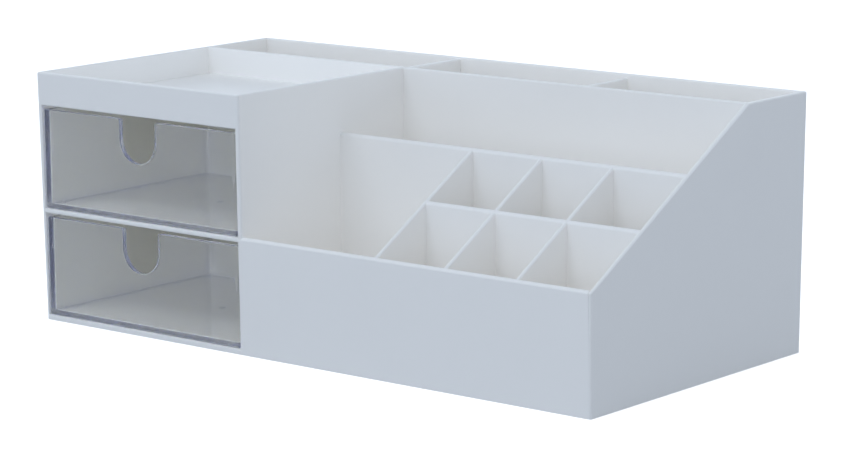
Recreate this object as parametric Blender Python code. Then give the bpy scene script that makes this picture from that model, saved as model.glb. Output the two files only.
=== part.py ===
"""Desk organizer: a white moulded case with a two-drawer tower, open bins and clear drawers.

Units are metres and +Z is up. Sizes along X and Y below are measured from the outer front
left corner of the top rim, and every object is then placed so that the world's origin is
the middle of the footprint, on the surface that the organizer stands on. The drawers pull
out towards -Y.
"""

import math

import bmesh
import bpy
from mathutils import Vector

# Outside of the case, measured at the top rim
WIDTH = 0.330
DEPTH = 0.163
HEIGHT = 0.121
FRONT_HEIGHT = 0.0545       # low wall in front of the open bins
LEAN = 0.0013               # how far every outer face has come in at the bottom (mould draft)

# Walls
OUTER_WALL = 0.0025         # at the rim; the lean thins it towards the bottom
PARTITION = 0.0020
BASE_THICKNESS = 0.0024
FIT_GAP = 0.0003            # between pieces that touch
EDGE_ROUND = 0.0004
EDGE_SEGMENTS = 2

# Tower: base, two equal drawer bays with a shelf between them, and a tray on top
TOWER_WIDTH = 0.131
SHELF_THICKNESS = 0.0021
TRAY_FLOOR_THICKNESS = 0.0026
TRAY_DEPTH = 0.0133
BAY_HEIGHT = (HEIGHT - BASE_THICKNESS - SHELF_THICKNESS - TRAY_FLOOR_THICKNESS - TRAY_DEPTH) / 2
SHELF_Z = BASE_THICKNESS + BAY_HEIGHT
UPPER_BAY_Z = SHELF_Z + SHELF_THICKNESS
TRAY_FLOOR_Z = UPPER_BAY_Z + BAY_HEIGHT

# Front faces of the walls that run along X
GRID_ROW_Y = 0.0360
MID_PARTITION_Y = 0.0699
REAR_PARTITION_Y = 0.1164

# Left faces of the walls that run along Y
GRID_LEFT_X = 0.2090
GRID_COLUMNS = 3
BACK_ROW_DIVIDER_X = 0.2300
LEFT_DIVIDER_DROP = 0.0007   # how far the back row's dividers stop below the rim
RIGHT_DIVIDER_DROP = 0.0020
HALVING_Z = 0.0370           # height at which the crossed grid dividers are halved together

# Drawers
SIDE_CLEARANCE = 0.0005
TOP_CLEARANCE = 0.0020
BACK_CLEARANCE = 0.0020
FRONT_RECESS = 0.0003
DRAWER_FRONT = 0.0024
DRAWER_WALL = 0.0020
DRAWER_CORNER = 0.0012
DRAWER_FILLET = 0.0025
NOTCH_WIDTH = 0.0225
NOTCH_DEPTH = 0.0205
NOTCH_ARC_STEPS = 20

# Inner faces of the case and of the tower
INNER_LEFT = OUTER_WALL
INNER_RIGHT = WIDTH - OUTER_WALL
INNER_FRONT = OUTER_WALL
INNER_BACK = DEPTH - OUTER_WALL
BAY_RIGHT = TOWER_WIDTH - OUTER_WALL
REAR_ROW_Y = REAR_PARTITION_Y + PARTITION

CENTRE = Vector((-WIDTH / 2, -DEPTH / 2, 0.0))
ON_PLANE = 1e-6


def clear_scene():
    for old in list(bpy.data.objects):
        bpy.data.objects.remove(old, do_unlink=True)


def plastic(name, colour, roughness, transmission=0.0, ior=1.5):
    material = bpy.data.materials.new(name)
    material.use_nodes = True
    shader = material.node_tree.nodes["Principled BSDF"]
    shader.inputs["Base Color"].default_value = (*colour, 1.0)
    shader.inputs["Roughness"].default_value = roughness
    shader.inputs["Metallic"].default_value = 0.0
    shader.inputs["Transmission Weight"].default_value = transmission
    shader.inputs["IOR"].default_value = ior
    material.diffuse_color = (*colour, 1.0 - 0.65 * transmission)
    return material


def white_plastic(name):
    return plastic(name + "_white", (0.80, 0.82, 0.84), 0.35)


def clear_plastic(name):
    return plastic(name + "_clear", (0.93, 0.95, 0.96), 0.05, transmission=1.0, ior=1.59)


def lean_at(z):
    """How far an outer face stands inside the rim's outline at height z."""
    return LEAN * (1.0 - z / HEIGHT)


def slope_height(y):
    """Height of the sloping cut from the low front wall up to the rear partition."""
    start = lean_at(FRONT_HEIGHT)
    share = (y - start) / (REAR_PARTITION_Y - start)
    return FRONT_HEIGHT + (HEIGHT - FRONT_HEIGHT) * share


def lean_outer_faces(bm):
    """Tilt the points on the case's four outer planes inwards towards the bottom."""
    for vert in bm.verts:
        inset = lean_at(vert.co.z)
        if abs(vert.co.x) < ON_PLANE:
            vert.co.x = inset
        elif abs(vert.co.x - WIDTH) < ON_PLANE:
            vert.co.x = WIDTH - inset
        if abs(vert.co.y) < ON_PLANE:
            vert.co.y = inset
        elif abs(vert.co.y - DEPTH) < ON_PLANE:
            vert.co.y = DEPTH - inset


def extruded(outline, axis, low, high):
    """A bmesh of an outline carried along one axis.

    The outline's points are (y, z) along X, (x, z) along Y and (x, y) along Z.
    """
    along = "XYZ".index(axis)
    bm = bmesh.new()
    rims = []
    for level in (low, high):
        rim = []
        for first, second in outline:
            point = [first, second]
            point.insert(along, level)
            rim.append(bm.verts.new(point))
        rims.append(rim)
    count = len(outline)
    for i in range(count):
        j = (i + 1) % count
        bm.faces.new((rims[0][i], rims[0][j], rims[1][j], rims[1][i]))
    bm.faces.new(rims[0])
    bm.faces.new(rims[1])
    bmesh.ops.recalc_face_normals(bm, faces=bm.faces)
    return bm


def new_object(name, bm, material, location):
    mesh = bpy.data.meshes.new(name)
    bm.to_mesh(mesh)
    bm.free()
    piece = bpy.data.objects.new(name, mesh)
    piece.location = location
    bpy.context.scene.collection.objects.link(piece)
    if material is not None:
        mesh.materials.append(material)
    return piece


def soften_edges(piece):
    bevel = piece.modifiers.new("soft_edges", "BEVEL")
    bevel.width = EDGE_ROUND
    bevel.segments = EDGE_SEGMENTS
    bevel.limit_method = "ANGLE"
    bevel.angle_limit = math.radians(20)
    piece.data.shade_smooth()
    piece.data.set_sharp_from_angle(angle=math.radians(40))


def case_panel(name, outline, axis, low, high):
    """One flat panel of the case, with its outer faces leaning and its edges softened."""
    bm = extruded(outline, axis, low, high)
    lean_outer_faces(bm)
    panel = new_object(name, bm, white_plastic(name), CENTRE)
    soften_edges(panel)
    return panel


def rectangle(first_low, first_high, second_low, second_high):
    return [
        (first_low, second_low),
        (first_high, second_low),
        (first_high, second_high),
        (first_low, second_high),
    ]


def under_slope(front, back, bottom):
    """(y, z) outline of a wall that runs along Y and is cut off by the slope."""
    return [(front, bottom), (back, bottom), (back, slope_height(back)), (front, slope_height(front))]


def make_case_sides():
    tall_side = rectangle(0.0, DEPTH, 0.0, HEIGHT)
    case_panel("left_side_panel", tall_side, "X", 0.0, INNER_LEFT)
    sloped_side = [
        (0.0, 0.0),
        (DEPTH, 0.0),
        (DEPTH, HEIGHT),
        (REAR_PARTITION_Y, HEIGHT),
        (0.0, FRONT_HEIGHT),
    ]
    case_panel("right_side_panel", sloped_side, "X", INNER_RIGHT, WIDTH)


def make_back_and_front():
    back = rectangle(INNER_LEFT + FIT_GAP, INNER_RIGHT - FIT_GAP, 0.0, HEIGHT)
    case_panel("back_panel", back, "Y", INNER_BACK, DEPTH)
    front = [
        (0.0, 0.0),
        (INNER_FRONT, 0.0),
        (INNER_FRONT, slope_height(INNER_FRONT)),
        (0.0, FRONT_HEIGHT),
    ]
    case_panel("front_panel", front, "X", TOWER_WIDTH + FIT_GAP, INNER_RIGHT - FIT_GAP)


def make_bases():
    back_edge = INNER_BACK - FIT_GAP
    tower = rectangle(INNER_LEFT + FIT_GAP, TOWER_WIDTH, 0.0, back_edge)
    case_panel("tower_base_panel", tower, "Z", 0.0, BASE_THICKNESS)
    bins = rectangle(TOWER_WIDTH + FIT_GAP, INNER_RIGHT - FIT_GAP, INNER_FRONT + FIT_GAP, back_edge)
    case_panel("bin_base_panel", bins, "Z", 0.0, BASE_THICKNESS)


def make_tower():
    standing = BASE_THICKNESS + FIT_GAP
    left = INNER_LEFT + FIT_GAP
    right = BAY_RIGHT - FIT_GAP
    side = rectangle(0.0, REAR_ROW_Y, standing, HEIGHT)
    case_panel("tower_side_panel", side, "X", BAY_RIGHT, TOWER_WIDTH)
    back = rectangle(left, right, standing, HEIGHT)
    case_panel("tower_back_panel", back, "Y", REAR_PARTITION_Y, REAR_ROW_Y)
    header = rectangle(left, right, TRAY_FLOOR_Z, HEIGHT)
    case_panel("tower_front_header", header, "Y", 0.0, INNER_FRONT)
    shelf = rectangle(left, right, 0.0, REAR_PARTITION_Y - FIT_GAP)
    case_panel("drawer_shelf", shelf, "Z", SHELF_Z, UPPER_BAY_Z)
    tray = rectangle(left, right, INNER_FRONT + FIT_GAP, REAR_PARTITION_Y - FIT_GAP)
    case_panel("tray_floor_panel", tray, "Z", TRAY_FLOOR_Z, TRAY_FLOOR_Z + TRAY_FLOOR_THICKNESS)


def make_bin_partitions():
    standing = BASE_THICKNESS + FIT_GAP
    left = TOWER_WIDTH + FIT_GAP
    right = INNER_RIGHT - FIT_GAP
    rear = rectangle(left, right, standing, HEIGHT)
    case_panel("rear_partition", rear, "Y", REAR_PARTITION_Y, REAR_ROW_Y)
    middle = under_slope(MID_PARTITION_Y, MID_PARTITION_Y + PARTITION, standing)
    case_panel("middle_partition", middle, "X", left, right)


def make_back_row_dividers():
    standing = BASE_THICKNESS + FIT_GAP
    front = REAR_ROW_Y + FIT_GAP
    back = INNER_BACK - FIT_GAP
    left = rectangle(front, back, standing, HEIGHT - LEFT_DIVIDER_DROP)
    case_panel("back_row_divider_left", left, "X", BAY_RIGHT, TOWER_WIDTH)
    right = rectangle(front, back, standing, HEIGHT - RIGHT_DIVIDER_DROP)
    left_face = BACK_ROW_DIVIDER_X
    case_panel("back_row_divider_right", right, "X", left_face, left_face + PARTITION)


def grid_divider_faces():
    """Left faces of the grid's cross dividers, which give equal columns up to the right wall."""
    clear_width = (INNER_RIGHT - GRID_LEFT_X - GRID_COLUMNS * PARTITION) / GRID_COLUMNS
    return [GRID_LEFT_X + i * (clear_width + PARTITION) for i in range(GRID_COLUMNS)]


def make_cross_dividers():
    """Three dividers from front to back; the two that the row divider crosses are slotted."""
    standing = BASE_THICKNESS + FIT_GAP
    front = INNER_FRONT + FIT_GAP
    back = MID_PARTITION_Y - FIT_GAP
    slot_front = GRID_ROW_Y - FIT_GAP
    slot_back = GRID_ROW_Y + PARTITION + FIT_GAP
    slot_bottom = HALVING_Z - FIT_GAP / 2
    slotted = [
        (front, standing),
        (back, standing),
        (back, slope_height(back)),
        (slot_back, slope_height(slot_back)),
        (slot_back, slot_bottom),
        (slot_front, slot_bottom),
        (slot_front, slope_height(slot_front)),
        (front, slope_height(front)),
    ]
    outlines = [under_slope(front, back, standing), slotted, slotted]
    names = ["left", "middle", "right"]
    for name, left_face, outline in zip(names, grid_divider_faces(), outlines):
        case_panel("grid_cross_divider_" + name, outline, "X", left_face, left_face + PARTITION)


def make_row_divider():
    """The divider along X, with slots from below that straddle the cross dividers.

    Its top follows the slope, so the plate is cut from a block whose back edge is higher.
    """
    standing = BASE_THICKNESS + FIT_GAP
    faces = grid_divider_faces()
    left = faces[0] + PARTITION + FIT_GAP
    right = INNER_RIGHT - FIT_GAP
    slot_top = HALVING_Z + FIT_GAP / 2
    front_height = slope_height(GRID_ROW_Y)
    outline = [(left, standing)]
    for face in faces[1:]:
        slot_left = face - FIT_GAP
        slot_right = face + PARTITION + FIT_GAP
        outline += [(slot_left, standing), (slot_left, slot_top)]
        outline += [(slot_right, slot_top), (slot_right, standing)]
    outline += [(right, standing), (right, front_height), (left, front_height)]
    bm = extruded(outline, "Y", GRID_ROW_Y, GRID_ROW_Y + PARTITION)
    for vert in bm.verts:
        if abs(vert.co.z - front_height) < ON_PLANE:
            vert.co.z = slope_height(vert.co.y)
    name = "grid_row_divider"
    divider = new_object(name, bm, white_plastic(name), CENTRE)
    soften_edges(divider)


def notch_outline():
    """(x, z) outline of the thumb notch below the drawer's top edge: straight sides, round foot."""
    radius = NOTCH_WIDTH / 2
    arc_centre = radius - NOTCH_DEPTH
    above = DRAWER_FRONT
    outline = [(radius, above)]
    for i in range(NOTCH_ARC_STEPS + 1):
        angle = -math.pi * i / NOTCH_ARC_STEPS
        outline.append((radius * math.cos(angle), arc_centre + radius * math.sin(angle)))
    outline.append((-radius, above))
    return outline


def cutter(name, bm, parent):
    """A hidden solid that a Boolean takes out of its parent."""
    tool = new_object(name, bm, None, (0.0, 0.0, 0.0))
    tool.parent = parent
    tool.hide_render = True
    tool.display_type = "WIRE"
    cut = parent.modifiers.new(name, "BOOLEAN")
    cut.operation = "DIFFERENCE"
    cut.solver = "EXACT"
    cut.object = tool
    return tool


def make_drawer(name, bay_floor):
    """One clear drawer; its own origin is on the slide axis, at the front face's lower edge."""
    half_width = (BAY_RIGHT - INNER_LEFT) / 2 - SIDE_CLEARANCE
    front = lean_at(bay_floor + BAY_HEIGHT / 2) + FRONT_RECESS
    length = REAR_PARTITION_Y - BACK_CLEARANCE - front
    height = BAY_HEIGHT - FIT_GAP - TOP_CLEARANCE

    body = extruded(rectangle(-half_width, half_width, 0.0, length), "Z", 0.0, height)
    upright = [e for e in body.edges if abs(e.verts[0].co.z - e.verts[1].co.z) > height / 2]
    bmesh.ops.bevel(body, geom=upright, offset=DRAWER_CORNER, segments=3, profile=0.5, affect="EDGES")
    axis_point = Vector(((INNER_LEFT + BAY_RIGHT) / 2, front, bay_floor + FIT_GAP))
    drawer = new_object(name, body, clear_plastic(name), CENTRE + axis_point)

    inner_half = half_width - DRAWER_WALL
    inside = rectangle(-inner_half, inner_half, DRAWER_FRONT, length - DRAWER_WALL)
    hollow = extruded(inside, "Z", DRAWER_WALL, height + DRAWER_FILLET)
    low_edges = [e for e in hollow.edges if min(v.co.z for v in e.verts) < height / 2]
    bmesh.ops.bevel(hollow, geom=low_edges, offset=DRAWER_FILLET, segments=3, profile=0.5, affect="EDGES")
    cutter(name + "_hollow", hollow, drawer)

    notch = [(x, height + z) for x, z in notch_outline()]
    cutter(name + "_notch", extruded(notch, "Y", -DRAWER_FRONT, 2 * DRAWER_FRONT), drawer)
    drawer.data.shade_smooth()
    drawer.data.set_sharp_from_angle(angle=math.radians(40))


def main():
    clear_scene()
    make_case_sides()
    make_back_and_front()
    make_bases()
    make_tower()
    make_bin_partitions()
    make_back_row_dividers()
    make_cross_dividers()
    make_row_divider()
    make_drawer("lower_drawer", BASE_THICKNESS)
    make_drawer("upper_drawer", UPPER_BAY_Z)


main()
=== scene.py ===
import math

import bpy
import numpy as np
from mathutils import Matrix, Vector


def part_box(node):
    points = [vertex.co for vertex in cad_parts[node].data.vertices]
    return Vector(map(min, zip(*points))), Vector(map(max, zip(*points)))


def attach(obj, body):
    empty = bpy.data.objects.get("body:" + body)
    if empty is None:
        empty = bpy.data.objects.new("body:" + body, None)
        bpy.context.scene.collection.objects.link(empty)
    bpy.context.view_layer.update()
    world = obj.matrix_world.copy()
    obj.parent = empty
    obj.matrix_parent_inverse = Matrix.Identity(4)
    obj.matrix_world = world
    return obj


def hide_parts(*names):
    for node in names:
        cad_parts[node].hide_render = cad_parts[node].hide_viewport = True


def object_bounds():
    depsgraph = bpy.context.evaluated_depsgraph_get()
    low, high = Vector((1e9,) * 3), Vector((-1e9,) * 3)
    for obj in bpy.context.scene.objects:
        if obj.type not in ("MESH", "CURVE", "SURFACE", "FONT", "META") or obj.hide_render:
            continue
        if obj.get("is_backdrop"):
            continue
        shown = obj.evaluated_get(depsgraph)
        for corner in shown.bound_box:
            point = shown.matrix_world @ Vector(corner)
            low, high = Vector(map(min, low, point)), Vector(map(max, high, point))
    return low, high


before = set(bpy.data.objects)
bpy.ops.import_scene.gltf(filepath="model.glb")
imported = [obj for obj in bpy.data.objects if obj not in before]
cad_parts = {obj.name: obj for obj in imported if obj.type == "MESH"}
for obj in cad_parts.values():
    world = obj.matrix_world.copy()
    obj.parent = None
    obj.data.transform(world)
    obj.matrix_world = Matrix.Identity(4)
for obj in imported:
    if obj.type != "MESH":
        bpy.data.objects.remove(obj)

# A white moulded desk organizer with two clear drawers. Metres, +Z up, the drawers pull out towards -Y.
# Every shape below starts from the boxes of the CAD nodes. What those don't tell, such as a rounding or the
# notch, is in the dictionary beside each shape.

caseLow, caseHigh = (np.array(corner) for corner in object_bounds())
print("frame loaded:", len(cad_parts), "nodes, box in mm", np.round((caseHigh - caseLow) * 1000, 1))


def srgb(code):
    # sRGB hex to the linear colour that shaders take
    parts = np.array([int(code[i:i + 2], 16) for i in (1, 3, 5)]) / 255
    linear = np.where(parts <= 0.04045, parts / 12.92, ((parts + 0.055) / 1.055) ** 2.4)
    return (*linear.tolist(), 1.0)


def addNode(tree, kind, settings=None, links=None):
    # a node with its settings and its links; both name inputs by name or number, or the node's own options
    node = tree.nodes.new("ShaderNode" + kind)
    for key, value in (settings or {}).items():
        if isinstance(key, str) and hasattr(node, key):
            setattr(node, key, value)
        else:
            node.inputs[key].default_value = value
    for key, socket in (links or {}).items():
        tree.links.new(socket, node.inputs[key])
    return node


def perMetre(millimetres):
    # texture scale for a pattern whose features are this far apart
    return 1000.0 / millimetres


def spanned(source, target):
    # Map Range settings that carry one pair of values to another
    return {"From Min": source[0], "From Max": source[1], "To Min": target[0], "To Max": target[1]}


def meshObject(name, points, faces, material):
    mesh = bpy.data.meshes.new(name)
    mesh.from_pydata(points.tolist(), [], faces)
    mesh.update()
    mesh.polygons.foreach_set("use_smooth", np.ones(len(mesh.polygons), bool))
    mesh.materials.append(material)
    piece = bpy.data.objects.new(name, mesh)
    bpy.context.scene.collection.objects.link(piece)
    return piece


def flatShading(piece):
    # big faces keep their own normals, so only the rounded edges shade round
    weighted = piece.modifiers.new("faceWeighted", "WEIGHTED_NORMAL")
    weighted.keep_sharp = True


whitePlastic = {
    "colour": "#FCFAF7",         # natural white, the least bit warm
    "shade": "#F9F7F4",          # faint mottling of the pigment
    "mottleSize": 26.0,          # mm
    "roughness": (0.36, 0.44),   # satin, uneven by a few hundredths
    "ior": 1.53,
    "peelSize": 0.9,             # mm between the swellings of the moulded skin
    "peelDepth": 0.000004,
    "waveSize": 34.0,            # mm, slow sink and swell of the big walls
    "waveDepth": 0.00007,
    "scuffSize": 3.0,            # mm
    "scuffSpan": (0.35, 0.75),   # noise values that go from the clean to the rubbed roughness
}

clearPlastic = {
    "colour": "#FAFAF5",         # one wall takes little, but light crosses about four on its way in and out
    "roughness": (0.025, 0.06),
    "ior": 1.59,
    "lampPass": "#FAF8F6",       # how much lamp light one wall lets by
    "smearSize": 5.0,            # mm, patches polished a little less
    "smearSpan": (0.3, 0.7),     # noise values that go from the polished to the dull roughness
    "waveSize": 18.0,            # mm
    "waveDepth": 0.000008,
    "haze": 0.04,                # the share of light that the plastic scatters, seen most at its edges
    "hazeColour": "#D6DAFF",     # the blue toner that such plastic gets
    "gateRadius": 0.0017,        # the mould's gate leaves a frosted button in the middle of the floor
    "gateFade": 0.2,             # how softly its frosting ends, as a share of the radius
    "gateHaze": 0.15,
}


def makeMouldedAbs(name, look):
    # Injection moulded ABS, fine spark-eroded tool: an even satin sheen with a barely visible orange peel,
    # long soft waves in the large walls, and a few dull rubbed patches.
    material = bpy.data.materials.new(name)
    material.use_nodes = True
    tree = material.node_tree
    shader = tree.nodes["Principled BSDF"]
    shader.inputs["IOR"].default_value = look["ior"]
    place = addNode(tree, "TexCoord").outputs["Object"]

    mottle = addNode(tree, "TexNoise", {"Scale": perMetre(look["mottleSize"]), "Detail": 3.0},
                     {"Vector": place})
    tint = addNode(tree, "Mix", {"data_type": "RGBA", 6: srgb(look["shade"]), 7: srgb(look["colour"])},
                   {0: mottle.outputs["Fac"]})
    tree.links.new(tint.outputs[2], shader.inputs["Base Color"])

    scuff = addNode(tree, "TexNoise", {"Scale": perMetre(look["scuffSize"]), "Detail": 6.0,
                                       "Roughness": 0.65}, {"Vector": place})
    dull = addNode(tree, "MapRange", spanned(look["scuffSpan"], look["roughness"]),
                   {"Value": scuff.outputs["Fac"]})
    tree.links.new(dull.outputs["Result"], shader.inputs["Roughness"])

    wave = addNode(tree, "TexNoise", {"Scale": perMetre(look["waveSize"]), "Detail": 1.0},
                   {"Vector": place})
    peel = addNode(tree, "TexNoise", {"Scale": perMetre(look["peelSize"]), "Detail": 2.0},
                   {"Vector": place})
    slow = addNode(tree, "Bump", {"Strength": 1.0, "Distance": look["waveDepth"]},
                   {"Height": wave.outputs["Fac"]})
    fine = addNode(tree, "Bump", {"Strength": 1.0, "Distance": look["peelDepth"]},
                   {"Height": peel.outputs["Fac"], "Normal": slow.outputs["Normal"]})
    tree.links.new(fine.outputs["Normal"], shader.inputs["Normal"])
    return material


def makeMouldedPolystyrene(name, look):
    # Clear crystal polystyrene, polished tool: bluish edges, a slight ripple in what shows through. Lamp
    # light is let straight by, so that the walls throw no black shadow.
    material = bpy.data.materials.new(name)
    material.use_nodes = True
    tree = material.node_tree
    shader = tree.nodes["Principled BSDF"]
    shader.inputs["Base Color"].default_value = srgb(look["colour"])
    shader.inputs["IOR"].default_value = look["ior"]
    shader.inputs["Transmission Weight"].default_value = 1.0
    place = addNode(tree, "TexCoord").outputs["Object"]
    smear = addNode(tree, "TexNoise", {"Scale": perMetre(look["smearSize"]), "Detail": 5.0},
                    {"Vector": place})
    rough = addNode(tree, "MapRange", spanned(look["smearSpan"], look["roughness"]),
                    {"Value": smear.outputs["Fac"]})
    tree.links.new(rough.outputs["Result"], shader.inputs["Roughness"])
    wave = addNode(tree, "TexNoise", {"Scale": perMetre(look["waveSize"]), "Detail": 1.0},
                   {"Vector": place})
    ripple = addNode(tree, "Bump", {"Strength": 1.0, "Distance": look["waveDepth"]},
                     {"Height": wave.outputs["Fac"]})
    tree.links.new(ripple.outputs["Normal"], shader.inputs["Normal"])

    low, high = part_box("upper_drawer")         # the lower drawer's gate is straight below
    gate = ((low.x + high.x) / 2, (low.y + high.y) / 2, 0)
    flat = addNode(tree, "VectorMath", {"operation": "MULTIPLY", 1: (1, 1, 0)}, {0: place})
    away = addNode(tree, "VectorMath", {"operation": "DISTANCE", 1: gate}, {0: flat.outputs[0]})
    ends = [look["gateRadius"] * (1 - look["gateFade"]), look["gateRadius"] * (1 + look["gateFade"])]
    share = addNode(tree, "MapRange", spanned(ends, (look["gateHaze"], look["haze"])),
                    {"Value": away.outputs["Value"]})
    milk = addNode(tree, "BsdfDiffuse", {"Color": srgb(look["hazeColour"])})
    hazy = addNode(tree, "MixShader", {}, {0: share.outputs["Result"], 1: shader.outputs[0],
                                           2: milk.outputs[0]})
    lamp = addNode(tree, "LightPath").outputs["Is Shadow Ray"]
    passing = addNode(tree, "BsdfTransparent", {"Color": srgb(look["lampPass"])})
    both = addNode(tree, "MixShader", {}, {0: lamp, 1: hazy.outputs[0], 2: passing.outputs[0]})
    tree.links.new(both.outputs[0], tree.nodes["Material Output"].inputs["Surface"])
    return material


caseWhite = makeMouldedAbs("moulded_abs_satin_white", whitePlastic)
drawerClear = makeMouldedPolystyrene("moulded_polystyrene_clear", clearPlastic)
print("materials made")


caseShape = {
    "frontHeight": 0.0545,       # top of the low front wall at its outer face
    "lean": 0.0013,              # how far the outer faces have come in at the bottom
    "fitGap": 0.0003,            # what the CAD solids keep between each other
    "rimRound": 0.00085,         # along the top edges
    "edgeRound": 0.00045,        # round the drawer openings and at the inside edges
    "cornerRound": 0.00115,      # upright corners beside the open bins
    "backRound": 0.0006,         # the other upright corners, where the wall thins to 1.2 mm
    "footRound": 0.00015,
    "roundSteps": 4,
    "slotFloor": 0.0370,         # where the crossed dividers are halved together
    "planeCatch": 0.0000001,     # points this close to an outer plane lie on it
}

butted = caseShape["fitGap"]
joined = butted + caseShape["edgeRound"]       # reaches in to where the neighbour's flat face starts
cornerJoined = butted + caseShape["cornerRound"]
bedded = {"left": joined, "right": joined, "bottom": joined}          # partitions along X
crossBedded = {"front": joined, "back": joined, "bottom": joined}     # dividers along Y
sideNames = ("left", "right", "front", "back", "bottom", "top")

# The six sides of each panel. A number says how far that side reaches past the CAD solid into its
# neighbour, "outside" and "corner" are show faces, and two "corner" faces meet in the large rounding. A
# "flush" side has no rounding towards a corner face, and the sides that aren't listed are plain: the top
# is a rim and the bottom stands on the table.
panels = {
    "left_side_panel": ("moulded_left_side", "X",
                        {"left": "outside", "front": "outside", "back": "outside"}),
    "right_side_panel": ("moulded_right_side", "X",
                         {"right": "corner", "front": "corner", "back": "outside", "left": "flush"}),
    "back_panel": ("moulded_back_wall", "Y", {"back": "outside", "left": joined, "right": joined}),
    "front_panel": ("moulded_front_wall", "X", {"front": "outside", "left": cornerJoined, "right": butted}),
    "tower_base_panel": ("moulded_tower_base", "Z",
                         {"front": "outside", "left": joined, "back": joined,
                          "right": -caseShape["cornerRound"], "top": "inside"}),
    "bin_base_panel": ("moulded_bin_base", "Z",
                       {"left": cornerJoined, "right": joined, "front": joined, "back": joined}),
    "tower_side_panel": ("moulded_tower_side", "X",
                         {"front": "corner", "right": "corner", "bottom": joined}),
    "tower_back_panel": ("moulded_tower_back", "Y", bedded),
    "tower_front_header": ("moulded_tray_front", "Y",
                           {"front": "outside", "left": joined, "right": joined, "bottom": "inside"}),
    "drawer_shelf": ("moulded_drawer_shelf", "Z",
                     {"front": "outside", "left": joined, "right": joined, "back": joined,
                      "top": "inside", "bottom": "inside"}),
    "tray_floor_panel": ("moulded_tray_floor", "Z",
                         {"left": joined, "right": joined, "front": joined, "back": joined}),
    "rear_partition": ("moulded_rear_partition", "Y", bedded),
    "middle_partition": ("moulded_middle_partition", "X", bedded),
    "back_row_divider_left": ("moulded_back_divider_left", "X", crossBedded),
    "back_row_divider_right": ("moulded_back_divider_right", "X", crossBedded),
    "grid_cross_divider_left": ("moulded_cell_divider_left", "X", crossBedded),
    "grid_cross_divider_middle": ("moulded_cell_divider_middle", "X", crossBedded),
    "grid_cross_divider_right": ("moulded_cell_divider_right", "X", crossBedded),
    "grid_row_divider": ("moulded_cell_row_divider", "X", bedded),
}
slopeTopped = ("front_panel", "middle_partition", "grid_cross_divider_left", "grid_cross_divider_middle",
               "grid_cross_divider_right", "grid_row_divider")
slotted = ("grid_cross_divider_middle", "grid_cross_divider_right")

caseHeight = caseHigh[2] - caseLow[2]
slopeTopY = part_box("rear_partition")[0].y
rowFront, rowBack = (point.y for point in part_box("grid_row_divider"))


def leanAt(z):
    # how far an outer face stands inside the rim's outline at height z
    return caseShape["lean"] * (1 - (z - caseLow[2]) / caseHeight)


def slopeHeight(y):
    # straight rise from the front wall's top to the rear partition's top, level in front of it
    start = caseLow[1] + leanAt(caseShape["frontHeight"])
    share = np.clip((y - start) / (slopeTopY - start), 0, 1)
    return caseShape["frontHeight"] + (caseHigh[2] - caseShape["frontHeight"]) * share


def reachedBox(node, sides):
    # the CAD node's box with its joined sides carried into their neighbours, and its outer faces brought
    # out to the rim's outline
    reached = np.array(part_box(node))
    for i, name in enumerate(sideNames):
        axis, end = i // 2, i % 2
        state = sides.get(name)
        outerPlane = (caseLow, caseHigh)[end][axis]
        if state in ("outside", "corner") and abs(reached[end, axis] - outerPlane) < 2 * caseShape["lean"]:
            reached[end, axis] = outerPlane
        elif not isinstance(state, (str, type(None))):
            reached[end, axis] += state * (1 if end else -1)
    return reached


def panelOutline(node, low, high):
    # outline in the plane across the carrying axis, and the side that each of its edges belongs to
    if node == "right_side_panel":
        outline = [(low[1], low[2]), (high[1], low[2]), (high[1], high[2]), (slopeTopY, high[2]),
                   (low[1], caseShape["frontHeight"])]
        return outline, ["bottom", "back", "top", "top", "front"]
    if node in slotted:
        slotFront, slotBack = rowFront + caseShape["rimRound"], rowBack - caseShape["rimRound"]
        outline = [(low[1], low[2]), (high[1], low[2]), (high[1], slopeHeight(high[1])),
                   (slotBack, slopeHeight(slotBack)), (slotBack, caseShape["slotFloor"]),
                   (slotFront, caseShape["slotFloor"]), (slotFront, slopeHeight(slotFront)),
                   (low[1], slopeHeight(low[1]))]
        return outline, ["bottom", "back", "top", "slot", "slot", "slot", "top", "front"]
    if node in slopeTopped:
        outline = [(low[1], low[2]), (high[1], low[2]), (high[1], slopeHeight(high[1])),
                   (low[1], slopeHeight(low[1]))]
        return outline, ["bottom", "back", "top", "front"]
    first, second, names = {"X": (1, 2, ["bottom", "back", "top", "front"]),
                            "Y": (0, 2, ["bottom", "right", "top", "left"]),
                            "Z": (0, 1, ["front", "right", "back", "left"])}[panels[node][1]]
    outline = [(low[first], low[second]), (high[first], low[second]), (high[first], high[second]),
               (low[first], high[second])]
    return outline, names


def edgeRadius(first, second):
    # radius of the edge where two sides meet: none inside a joint
    pair = {first, second}
    if not all(isinstance(state, str) for state in pair) or pair == {"flush", "corner"}:
        return 0.0
    if "bottom" in pair:
        return caseShape["footRound"]
    if "top" in pair:
        return caseShape["rimRound"]
    if pair == {"corner"}:
        return caseShape["cornerRound"]
    return caseShape["backRound" if pair <= {"outside", "corner"} else "edgeRound"]


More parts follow.
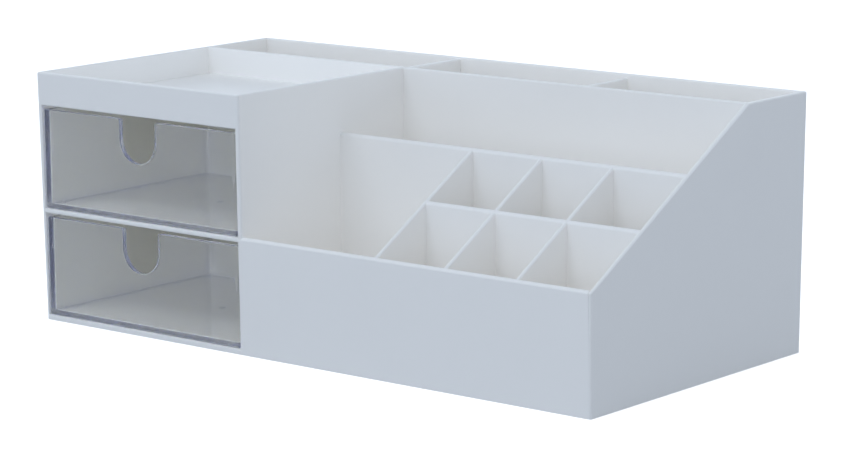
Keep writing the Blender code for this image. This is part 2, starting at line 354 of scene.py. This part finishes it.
def makePanel(node):
    # An outline carried along one axis: point (i, k) is outline point i at the low or the high end k.
    # The case's outer planes then lean in by a share of the depth below the rim.
    name, axis, sides = panels[node]
    low, high = reachedBox(node, sides)
    outline, names = panelOutline(node, low, high)
    along = "XYZ".index(axis)
    flat = np.array(outline)
    count = len(flat)
    ends = [np.insert(flat, along, level, axis=1) for level in (low[along], high[along])]
    points = np.concatenate(ends)
    inset = leanAt(points[:, 2])
    for k in (0, 1):
        onLow, onHigh = (np.isclose(points[:, k], plane[k], atol=caseShape["planeCatch"])
                         for plane in (caseLow, caseHigh))
        points[:, k] += np.where(onLow, inset, 0) - np.where(onHigh, inset, 0)

    here = np.arange(count)
    after = (here + 1) % count
    walls = np.stack([here, after, after + count, here + count], axis=1)
    turned = axis == "Y"                       # (x, z) runs the other way round seen along +Y
    faces = [face if not turned else face[::-1] for face in walls.tolist()]
    caps = [here[::-1].tolist(), (here + count).tolist()]
    faces += [cap if not turned else cap[::-1] for cap in caps]

    states = [0.0 if side == "slot" else sides.get(side, side) for side in names]
    endStates = [sides.get(side, side) for side in sideNames[2 * along:2 * along + 2]]
    radii = np.zeros((2 * count, 2 * count))
    for i in range(count):
        j = (i + 1) % count
        radii[i, j] = edgeRadius(states[i], endStates[0])
        radii[i + count, j + count] = edgeRadius(states[i], endStates[1])
        radii[j, j + count] = edgeRadius(states[i], states[j])
    radii = np.maximum(radii, radii.T)

    piece = meshObject(name, points, faces, caseWhite)
    mesh = piece.data
    pairs = np.empty(2 * len(mesh.edges), int)
    mesh.edges.foreach_get("vertices", pairs)
    radius = radii[pairs[0::2], pairs[1::2]]
    weight = mesh.attributes.new("bevel_weight_edge", "FLOAT", "EDGE")
    weight.data.foreach_set("value", (radius / caseShape["cornerRound"]).astype(np.float32))
    sharp = mesh.attributes.new("sharp_edge", "BOOLEAN", "EDGE")
    sharp.data.foreach_set("value", radius == 0)

    bevel = piece.modifiers.new("roundedEdges", "BEVEL")
    bevel.limit_method = "WEIGHT"
    bevel.width = caseShape["cornerRound"]
    bevel.segments = caseShape["roundSteps"]
    bevel.use_clamp_overlap = False
    flatShading(piece)
    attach(piece, "case")
    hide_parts(node)
    return piece


for node in panels:
    makePanel(node)
print("case made:", len(panels), "panels")


drawerShape = {
    "frontWall": 0.0024,
    "wall": 0.0020,
    "floor": 0.0020,
    "outerCorner": 0.0012,
    "innerCorner": 0.0014,
    "innerFillet": 0.0009,
    "bottomRound": 0.0008,
    "rimRound": 0.0004,
    "notchWidth": 0.0225,
    "notchDepth": 0.0205,
    "notchShoulder": 0.0011,     # rounding where the notch leaves the top edge
    "notchSpread": 0.0350,       # half width of the front in which the mesh fans out round the notch
    "notchFlare": 0.0020,        # how much wider the notch's lines stand lower down the wall
    "gateHeight": 0.00015,       # the gate mark's low button
    "gateFoot": 1.5,             # the ring round it, in radii of the gate
    "gateTop": 0.75,             # the button's flat top, in radii of the gate
    "steps": 6,                  # of each small rounding
    "arcSteps": 36,              # of the notch's round foot
    "levelSteps": 5,             # of the level edge beside the notch
    "downSteps": 4,              # of the notch's straight sides
    "aheadSteps": 4,             # of the front on either side of the spread
    "sideSteps": 5,              # of each straight side of the tub
    "floorRings": (0.35, 0.7),   # how far the rings across the floor have gone from its edge to the gate
}


def turn(start, stop, steps):
    # unit circle points from one angle to another, both in degrees
    angle = np.radians(np.linspace(start, stop, steps + 1))
    return np.stack([np.cos(angle), np.sin(angle)], axis=1)


def notchPath(height):
    # Half the front's top edge from -notchSpread to the middle of the notch: level, a quarter round over
    # the shoulder, straight down, and a quarter round to the foot. Each point also has the direction out of
    # the plastic and the x that its line down the wall ends on. The other half is the mirror image.
    shape = drawerShape
    radius = shape["notchWidth"] / 2
    shoulder = shape["notchShoulder"]
    spread = shape["notchSpread"]
    foot = height - shape["notchDepth"] + radius
    over = turn(90, 0, shape["steps"])
    under = turn(180, 270, shape["arcSteps"] // 2)
    level = np.linspace(-spread, -radius - shoulder, shape["levelSteps"] + 1)[:-1]
    down = np.linspace(height - shoulder, foot, shape["downSteps"] + 1)[1:-1]
    path = np.concatenate([
        np.stack([level, np.full_like(level, height)], axis=1),
        np.array([-radius - shoulder, height - shoulder]) + shoulder * over,
        np.stack([np.full_like(down, -radius), down], axis=1),
        np.array([0, foot]) + radius * under,
    ])
    out = np.concatenate([np.tile([0.0, 1.0], (len(level), 1)), over,
                          np.tile([1.0, 0.0], (len(down), 1)), -under])
    split = len(level) + len(over) + len(down)
    flared = -radius - shape["notchFlare"]
    onWall = np.concatenate([np.linspace(-spread, flared, split + 1)[:-1],
                             np.linspace(flared, 0, len(under))])
    mirrored = np.array([-1.0, 1.0])
    path = np.concatenate([path, path[-2::-1] * mirrored])
    out = np.concatenate([out, out[-2::-1] * mirrored])
    onWall = np.concatenate([onWall, -onWall[-2::-1]])
    return path, out, onWall


def planCurve(halfWidth, front, back, radius, onWall):
    # Rounded rectangle seen from above, anticlockwise from the front's left end. The points in front of
    # the notch keep their own x, and the rest are shared out along the straight sides and the four quarter
    # rounds.
    steps = drawerShape["steps"]
    spread = drawerShape["notchSpread"]
    straight = halfWidth - radius
    ahead = np.linspace(-straight, -spread, drawerShape["aheadSteps"] + 1)[:-1]
    frontX = np.concatenate([ahead, onWall, -ahead[::-1]])
    parts = [np.stack([frontX, np.full_like(frontX, front)], axis=1)]
    centres = [(straight, front + radius), (straight, back - radius), (-straight, back - radius),
               (-straight, front + radius)]
    for i, centre in enumerate(centres):
        arc = np.array(centre) + radius * turn(90 * i - 90, 90 * i, steps)
        parts.append(arc[1:] if i == 0 else arc)
        if i < 3:
            following = np.array(centres[i + 1]) + radius * turn(90 * i, 90 * i, 0)
            parts.append(np.linspace(arc[-1], following[0], drawerShape["sideSteps"] + 1)[1:-1])
    loop = np.concatenate(parts)
    return loop[:-1]                           # the last point is the front's left end again


def makeDrawer(node, name):
    # Rings of one closed loop, numbered (ring t, station s): up the outside, over the rim, down the inside
    # and in across the floor to the gate mark. Station s stays on one line from the rim down to the floor.
    shape = drawerShape
    low, high = (np.array(point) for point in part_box(node))
    middle = (low[0] + high[0]) / 2
    halfWidth = (high[0] - low[0]) / 2
    height = high[2] - low[2]
    front, back = 0.0, high[1] - low[1]
    path, out, onWall = notchPath(height)
    lip, steps = shape["rimRound"], shape["steps"]

    def outer(inset):
        return planCurve(halfWidth - inset, front + inset, back - inset,
                         shape["outerCorner"] - inset, onWall)

    def inner(inset):
        return planCurve(halfWidth - shape["wall"] - inset, front + shape["frontWall"] + inset,
                         back - shape["wall"] - inset, shape["innerCorner"] - inset, onWall)

    outside, inside = outer(0), inner(0)
    stations = len(outside)
    shiftX, rimZ = np.zeros(stations), np.full(stations, height)
    outX, outZ = np.zeros(stations), np.ones(stations)
    notch = slice(shape["aheadSteps"], shape["aheadSteps"] + len(onWall))
    shiftX[notch] = path[:, 0] - onWall
    rimZ[notch] = path[:, 1]
    outX[notch], outZ[notch] = out[:, 0], out[:, 1]

    def flatRing(loop, z):
        return np.column_stack([loop, np.full(len(loop), z)])

    def rimRing(across, over):
        # across is the share of the wall's thickness, over the distance out of the plastic
        loop = outside + (inside - outside) * across
        return np.column_stack([loop[:, 0] + shiftX + over * outX, loop[:, 1], rimZ + over * outZ])

    rings = []
    foot = shape["bottomRound"]
    for cosine, sine in turn(-90, 0, steps):
        rings.append(flatRing(outer(foot * (1 - cosine)), foot * (1 + sine)))
    edge = lip / shape["wall"]
    for cosine, sine in turn(180, 90, steps):
        rings.append(rimRing(edge * (1 + cosine), lip * (sine - 1)))
    for cosine, sine in turn(90, 0, steps):
        rings.append(rimRing(1 - edge * (1 - cosine), lip * (sine - 1)))
    fillet, floor = shape["innerFillet"], shape["floor"]
    for cosine, sine in turn(180, 270, steps + 2):
        rings.append(flatRing(inner(fillet * (1 + cosine)), floor + fillet * (1 + sine)))
    floorEdge = inner(fillet)
    gateCentre = np.array([0.0, (front + back) / 2])
    angle = np.arctan2(floorEdge[:, 1] - gateCentre[1], floorEdge[:, 0])
    circle = np.column_stack([np.cos(angle), np.sin(angle)])
    gate = clearPlastic["gateRadius"]
    gateFoot = gateCentre + shape["gateFoot"] * gate * circle
    for share in shape["floorRings"]:          # the floor's loop turns into the gate's circle
        rings.append(flatRing(floorEdge * (1 - share) + gateFoot * share, floor))
    for cosine, sine in turn(180, 90, steps):  # the button's edge, a quarter round
        size = gate * (1 - (1 - shape["gateTop"]) * (1 + cosine))
        rings.append(flatRing(gateCentre + size * circle, floor + shape["gateHeight"] * sine))
    points = np.concatenate(rings) + np.array([middle, low[1], low[2]])

    ringCount = len(rings)
    s = np.arange(stations)
    t = np.arange(ringCount - 1)[:, None]
    nextS = (s + 1) % stations
    quads = np.stack([t * stations + s, t * stations + nextS, (t + 1) * stations + nextS,
                      (t + 1) * stations + s], axis=-1).reshape(-1, 4)
    faces = quads.tolist() + [s[::-1].tolist(), ((ringCount - 1) * stations + s).tolist()]
    piece = meshObject(name, points, faces, drawerClear)
    flatShading(piece)
    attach(piece, node)
    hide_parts(node)
    return piece


makeDrawer("lower_drawer", "clear_lower_drawer")
makeDrawer("upper_drawer", "clear_upper_drawer")
print("drawers made")


stageLook = {
    "floorSize": 12.0,
    "floorColour": "#F7F7F7",
    "floorGlow": 0.62,           # makes the floor come out pure white
    "floorDepth": 0.0001,        # under the object's foot
    "tableColour": "#B0B2B6",    # the grey table that throws light up from below
    "tableDepth": 0.0002,
    "paperRoughness": 0.9,
    "keyPower": 0.68,            # a soft lamp above, a little to the left and in front
    "keyWay": (-0.25, -0.68, 1.0),
    "keyWidth": 28.0,            # degrees
    "tentColour": "#E4EFFD",     # cool daylight tent
    "dimSide": 0.985,            # the tent's sides, from the dim front right to the bright back left
    "brightSide": 1.49,
    "brightWay": (-0.61, 0.79, 0.0),
    "overhead": 0.43,            # the tent's top
    "topHeights": (0.15, 0.85),  # where the sides start to fade into the top and where it is reached
    "bounces": 16,
    "clearBounces": 64,          # light runs far inside the clear walls before it comes out
}

cameraLook = {
    "azimuth": 39.6251,          # degrees from straight in front towards the right
    "elevation": 10.6255,
    "roll": 0.44749,
    "distance": 1.47815,
    "target": (0.00546, 0.00100, 0.05197),
    "lens": 134.5267,
    "sensor": 36.0,
    "farClip": 100.0,
}


def makeSheet(name, paper, colour, glow, depth):
    # a square of paper under the object, at a depth below its foot
    half = stageLook["floorSize"] / 2
    z = caseLow[2] - depth
    corners = np.array([[-half, -half, z], [half, -half, z], [half, half, z], [-half, half, z]])
    material = bpy.data.materials.new(paper)
    material.use_nodes = True
    shader = material.node_tree.nodes["Principled BSDF"]
    shader.inputs["Base Color"].default_value = srgb(colour)
    shader.inputs["Roughness"].default_value = stageLook["paperRoughness"]
    shader.inputs["Emission Color"].default_value = (1, 1, 1, 1)
    shader.inputs["Emission Strength"].default_value = glow
    sheet = meshObject(name, corners, [[0, 1, 2, 3]], material)
    sheet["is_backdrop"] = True
    return sheet


def makeFloor():
    # The eye meets a glowing white sheet, also through clear plastic. The object is lit from below by a
    # grey one just under it. Light that has met something matt, and comes out through clear plastic, finds
    # the white sheet as grey as that one.
    floor = makeSheet("studio_floor", "matt_white_paper", stageLook["floorColour"],
                      stageLook["floorGlow"], stageLook["floorDepth"])
    floor.visible_diffuse = floor.visible_glossy = floor.visible_shadow = False
    tree = floor.active_material.node_tree
    bounces = addNode(tree, "LightPath").outputs["Diffuse Depth"]
    bounced = addNode(tree, "Math", {"operation": "GREATER_THAN", 1: 0.5}, {0: bounces})
    white = tree.nodes["Principled BSDF"]
    grey = addNode(tree, "BsdfDiffuse", {"Color": srgb(stageLook["tableColour"])})
    both = addNode(tree, "MixShader", {}, {0: bounced.outputs[0], 1: white.outputs[0],
                                           2: grey.outputs[0]})
    tree.links.new(both.outputs[0], tree.nodes["Material Output"].inputs["Surface"])
    table = makeSheet("studio_table", "matt_grey_paper", stageLook["tableColour"], 0.0,
                      stageLook["tableDepth"])
    table.visible_camera = table.visible_transmission = False


def makeLights():
    # A light tent: sides that fade from one way to the other, and a top of its own.
    world = bpy.data.worlds.new("light_tent")
    world.use_nodes = True
    tree = world.node_tree
    way = addNode(tree, "TexCoord").outputs["Generated"]
    height = addNode(tree, "SeparateXYZ", {}, {0: way}).outputs["Z"]
    bright = Vector(stageLook["brightWay"]).normalized()
    facing = addNode(tree, "VectorMath", {"operation": "DOT_PRODUCT", 1: bright}, {0: way})
    sides = addNode(tree, "MapRange", spanned((-1, 1), (stageLook["dimSide"], stageLook["brightSide"])),
                    {"Value": facing.outputs["Value"]})
    rising = addNode(tree, "MapRange", {"interpolation_type": "SMOOTHSTEP",
                                        **spanned(stageLook["topHeights"], (0, 1))}, {"Value": height})
    power = addNode(tree, "Mix", {3: stageLook["overhead"]},
                    {0: rising.outputs["Result"], 2: sides.outputs["Result"]})
    sky = tree.nodes["Background"]
    sky.inputs["Color"].default_value = srgb(stageLook["tentColour"])
    tree.links.new(power.outputs[0], sky.inputs["Strength"])
    scene = bpy.context.scene
    scene.world = world
    scene.cycles.blur_glossy = 0.0             # light passes the clear walls unblurred
    scene.cycles.diffuse_bounces = stageLook["bounces"]
    scene.cycles.glossy_bounces = stageLook["clearBounces"]
    scene.cycles.transmission_bounces = stageLook["clearBounces"]
    scene.cycles.max_bounces = 2 * stageLook["clearBounces"]


def makeKey():
    key = bpy.data.lights.new("soft_key", "SUN")
    key.energy = stageLook["keyPower"]
    key.angle = math.radians(stageLook["keyWidth"])
    key.color = srgb(stageLook["tentColour"])[:3]
    lamp = bpy.data.objects.new("soft_key", key)
    lamp.rotation_euler = Vector(stageLook["keyWay"]).to_track_quat("Z", "Y").to_euler()
    bpy.context.scene.collection.objects.link(lamp)


def makeCamera():
    # the camera stands on a sphere round its target, looks at it, and is then rolled a little
    azimuth, elevation = math.radians(cameraLook["azimuth"]), math.radians(cameraLook["elevation"])
    away = Vector((math.sin(azimuth) * math.cos(elevation), -math.cos(azimuth) * math.cos(elevation),
                   math.sin(elevation)))
    data = bpy.data.cameras.new("product_camera")
    data.lens = cameraLook["lens"]
    data.sensor_width = cameraLook["sensor"]
    data.clip_end = cameraLook["farClip"]
    camera = bpy.data.objects.new("product_camera", data)
    place = Vector(cameraLook["target"]) + away * cameraLook["distance"]
    aim = away.to_track_quat("Z", "Y").to_matrix().to_4x4()
    roll = Matrix.Rotation(-math.radians(cameraLook["roll"]), 4, "Z")
    camera.matrix_world = Matrix.Translation(place) @ aim @ roll
    bpy.context.scene.collection.objects.link(camera)
    bpy.context.scene.camera = camera


makeFloor()
makeLights()
makeKey()
makeCamera()
bpy.context.scene.view_settings.view_transform = "Standard"
print("stage made")
